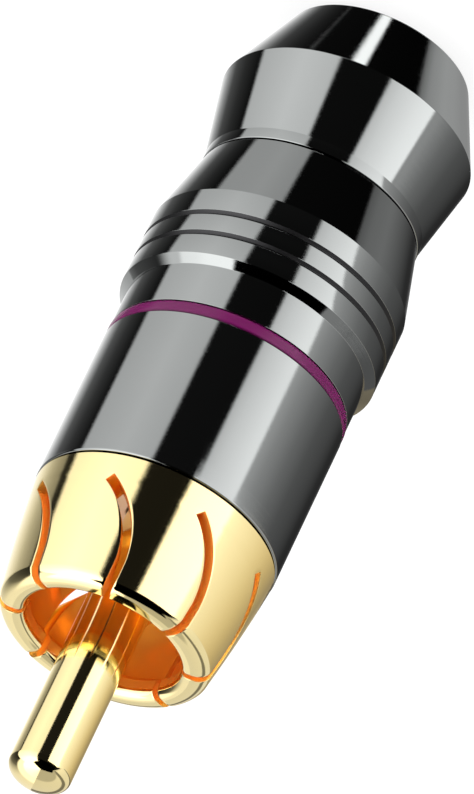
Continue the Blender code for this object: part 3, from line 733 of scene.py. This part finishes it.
# Barrel: one turned brass shell under dark chrome. Outside it has the marking ring's groove, a chamfered
# step, two fine grooves on the grip, a cone and the tail nut's thread. Inside are the collar's thread and a
# cavity for the wiring.
TAIL_THREAD_DEPTH = 0.25 * MM
THREAD_GAP = 0.05 * MM
SEAM_GAP = 0.08 * MM
FLANGE_SETBACK = 0.03 * MM
RING_SINK = 0.03 * MM
RING_THICKNESS = 0.4 * MM
BARREL_TAPER = 0.06 * MM
BARREL_MIDDLE_LENGTH = 2.23 * MM
STEP_HEIGHT = 0.35 * MM
GRIP_LENGTH = 3.9 * MM
GRIP_GROOVE_WIDTH = 0.3 * MM
GRIP_GROOVE_DEPTH = 0.15 * MM
GRIP_GROOVE_STEPS = (1.25 * MM, 1.25 * MM)
TAIL_THREAD_LENGTH = 3.0 * MM
CAVITY_TAPER_LENGTH = 1.6 * MM
TAIL_WALL = 0.68 * MM
LINER_GAP = 0.07 * MM
COLLET_GAP = 0.07 * MM
COLLET_WALL = 0.73 * MM
TAIL_BOSS_WALL = 0.8 * MM
CABLE_RADIUS = 3.15 * MM
FINE_EDGE = 0.02 * MM
CHROME = (0.336, 0.348, 0.344)
# Dark, rough chrome for the grip grooves: painted shade in the grooves.
GROOVE_PAINTED_SHADE = (0.05, 0.05, 0.052)
PAINTED_SHADE_FINISH = 1  # its place among the barrel's finishes

chrome = polished("dark_chrome", CHROME, metallic=1.0, roughness=0.045, marks=0.0003 * MM)
groove_painted_shade = polished("chrome_painted_shade", GROOVE_PAINTED_SHADE, metallic=1.0, roughness=0.35, tint=0.2)
barrel_low, barrel_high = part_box("barrel")
ring_low, ring_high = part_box("ident_ring")
barrel_radius = collar_radius + FLANGE_SETBACK
back_radius = barrel_radius - BARREL_TAPER
grip_radius = barrel_high.x
groove_top_z = ring_high.z + FIT_GAP / 2
groove_bottom_z = ring_low.z - FIT_GAP / 2
step_top_z = groove_bottom_z - BARREL_MIDDLE_LENGTH
grip_top_z = step_top_z - STEP_HEIGHT
cavity_z = grip_top_z - GRIP_LENGTH
cone_end_z = barrel_low.z + TAIL_THREAD_LENGTH + SEAM_GAP
groove_floor = barrel_radius - RING_SINK - RING_THICKNESS - FIT_GAP
thread_bore = boss_radius + THREAD_DEPTH + THREAD_GAP
thread_end_z = boss_end_z - SEAM_GAP - EDGE
cavity_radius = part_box("liner")[1].x + LINER_GAP
boss_bore = CABLE_RADIUS + COLLET_WALL + COLLET_GAP
tail_boss_radius = boss_bore + TAIL_BOSS_WALL
tail_thread_bore = tail_boss_radius + TAIL_THREAD_DEPTH + THREAD_GAP
land_radius = tail_thread_bore + TAIL_WALL
grooves = []
groove_z = grip_top_z
for distance in GRIP_GROOVE_STEPS:
    groove_z -= distance
    grooves += [
        (grip_radius, groove_z + GRIP_GROOVE_WIDTH / 2, FINE_EDGE),
        (grip_radius - GRIP_GROOVE_DEPTH, groove_z, FINE_EDGE),
        (grip_radius, groove_z - GRIP_GROOVE_WIDTH / 2, FINE_EDGE),
    ]
bm = spun(
    [
        (thread_bore, barrel_high.z, EDGE),
        (barrel_radius, barrel_high.z, EDGE),
        (barrel_radius, groove_top_z, FINE_EDGE),
        (groove_floor, groove_top_z),
        (groove_floor, groove_bottom_z),
        (back_radius, groove_bottom_z, FINE_EDGE),
        (back_radius, step_top_z, FINE_EDGE),
        (grip_radius, grip_top_z, FINE_EDGE),
        *grooves,
        (grip_radius, cavity_z, FINE_EDGE),
        (land_radius - EDGE / 4, cone_end_z, EDGE / 2),
        (tail_boss_radius, cone_end_z),
        *thread_rows(tail_boss_radius, cone_end_z, barrel_low.z),
        (tail_boss_radius, barrel_low.z, EDGE / 2),
        (boss_bore, barrel_low.z),
        (boss_bore, cavity_z - CAVITY_TAPER_LENGTH),
        (cavity_radius, cavity_z),
        (cavity_radius, thread_end_z - EDGE),
        (thread_bore, thread_end_z),
        *thread_rows(thread_bore, thread_end_z, barrel_high.z),
    ],
)
# The grip grooves' faces take the dark, rough chrome: painted shade in the grooves.
for face in bm.faces:
    middle = face.calc_center_median()
    depth = grip_radius - hypot(middle.x, middle.y)
    if cavity_z < middle.z < grip_top_z - FINE_EDGE and FINE_EDGE / 2 < depth < 2 * GRIP_GROOVE_DEPTH:
        face.material_index = PAINTED_SHADE_FINISH
cut_thread(bm, thread_bore, thread_end_z, barrel_high.z - EDGE, THREAD_DEPTH, inside=True)
cut_thread(bm, tail_boss_radius, barrel_low.z + EDGE / 2, cone_end_z, TAIL_THREAD_DEPTH)
dress("barrel_turned", bm, [chrome, groove_painted_shade], "barrel", ["barrel"])

# Marking ring: a purple elastic band, moulded with rounded edges and stretched into the barrel's groove. It
# sits a hair below the barrel's surface and shines a little.
PURPLE = (0.13, 0.004, 0.076)
PURPLE_SHEEN = {"Specular IOR Level": 0.25}

purple = polished("purple_band", PURPLE, metallic=0.0, roughness=0.25, tint=0.25, constants=PURPLE_SHEEN)
soft_edge = (ring_high.z - ring_low.z) / 4
ring_inner = ring_high.x - RING_THICKNESS
bm = spun(
    [
        (ring_inner, ring_high.z),
        (ring_high.x, ring_high.z, soft_edge),
        (ring_high.x, ring_low.z, soft_edge),
        (ring_inner, ring_low.z),
    ],
)
dress("ident_ring_band", bm, [purple], "barrel", ["ident_ring"])

# Cable collet: a clamp ring of black plastic. Six saw cuts let its tapered head close on the cable, and
# three fine teeth inside it bite into the jacket.
COLLET_SLOTS = 6
COLLET_SLOT_WIDTH = 0.7 * MM
COLLET_UNSLOTTED = 1.2 * MM
COLLET_HEAD_HEIGHT = 0.95 * MM
COLLET_TOOTH = 0.18 * MM
COLLET_TEETH = 3
COLLET_TOOTH_LAND = 0.02 * MM
COLLET_LINES = 144
TAIL_HOLE_GAP = 0.15 * MM
TAIL_FLOOR_THICKNESS = 1.3 * MM

tail_hole = CABLE_RADIUS + TAIL_HOLE_GAP
collet_low, collet_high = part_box("cable_collet")
collet_head_z = barrel_low.z - SEAM_GAP
cone_top_z = collet_head_z - COLLET_HEAD_HEIGHT
cone_low = tail_hole + COLLET_GAP
cone_rise = (tail_boss_radius - cone_low) / (cone_top_z - TAIL_FLOOR_THICKNESS)
collet_tip_radius = cone_low + (collet_low.z - TAIL_FLOOR_THICKNESS) * cone_rise - COLLET_GAP
tooth_pitch = (collet_head_z - collet_low.z) / (COLLET_TEETH + 1)
teeth = []
for tooth in range(COLLET_TEETH):
    crest = collet_low.z + tooth_pitch * (tooth + 1 / 2)
    teeth += [
        (CABLE_RADIUS, crest),
        (CABLE_RADIUS + COLLET_TOOTH, crest + tooth_pitch / 2),
        (CABLE_RADIUS, crest + tooth_pitch - COLLET_TOOTH_LAND),
    ]
bm = spun(
    [
        (CABLE_RADIUS, collet_high.z),
        (CABLE_RADIUS + COLLET_WALL, collet_high.z, EDGE),
        (CABLE_RADIUS + COLLET_WALL, collet_head_z),
        (tail_boss_radius - COLLET_GAP, collet_head_z, FINE_EDGE),
        (tail_boss_radius - COLLET_GAP, cone_top_z, FINE_EDGE),
        (collet_tip_radius, collet_low.z, FINE_EDGE),
        (CABLE_RADIUS, collet_low.z),
        *teeth,
    ],
    around=COLLET_LINES,
)
saw_low = Vector((CABLE_RADIUS / 2, -COLLET_SLOT_WIDTH / 2, collet_low.z - COLLET_HEAD_HEIGHT))
saw_high = Vector((2 * CABLE_RADIUS, COLLET_SLOT_WIDTH / 2, collet_high.z - COLLET_UNSLOTTED))
saw = bmesh.new()
for slot in range(COLLET_SLOTS):
    blade = bmesh.ops.create_cube(saw, size=1.0)["verts"]
    bmesh.ops.scale(saw, verts=blade, vec=saw_high - saw_low)
    bmesh.ops.translate(saw, verts=blade, vec=(saw_low + saw_high) / 2)
    turn = Matrix.Rotation(2 * pi * (slot + 1 / 2) / COLLET_SLOTS, 3, "Z")
    bmesh.ops.rotate(saw, verts=blade, cent=(0, 0, 0), matrix=turn)
bm = cut_away(bm, saw)
dress("collet_slotted", bm, [black_plastic], "collet", ["cable_collet"])

# Tail nut: turned brass under dark chrome. It flares from its waist, tapers to the end, and holds the
# thread, the cone that closes the collet and the cable's hole.
TAIL_LAND_LENGTH = 0.6 * MM
TAIL_FLARE_LENGTH = 4.33 * MM
TAIL_END_WALL = 1.45 * MM

tail_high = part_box("tail_nut")[1]
flare_z = tail_high.z - TAIL_LAND_LENGTH - TAIL_FLARE_LENGTH
bm = spun(
    [
        (tail_thread_bore, tail_high.z, EDGE),
        (land_radius, tail_high.z, EDGE / 2),
        (land_radius, tail_high.z - TAIL_LAND_LENGTH, FINE_EDGE),
        (tail_high.x, flare_z, EDGE / 2),
        (tail_hole + TAIL_END_WALL, 0.0, 2 * EDGE),
        (tail_hole, 0.0, 2 * EDGE),
        (tail_hole, TAIL_FLOOR_THICKNESS),
        (cone_low, TAIL_FLOOR_THICKNESS),
        (tail_boss_radius, cone_top_z),
        (tail_thread_bore, cone_top_z),
        *thread_rows(tail_thread_bore, cone_top_z, tail_high.z),
    ],
)
cut_thread(bm, tail_thread_bore, cone_top_z, tail_high.z - EDGE, TAIL_THREAD_DEPTH, inside=True)
dress("tail_nut_turned", bm, [chrome], "tail", ["tail_nut"])
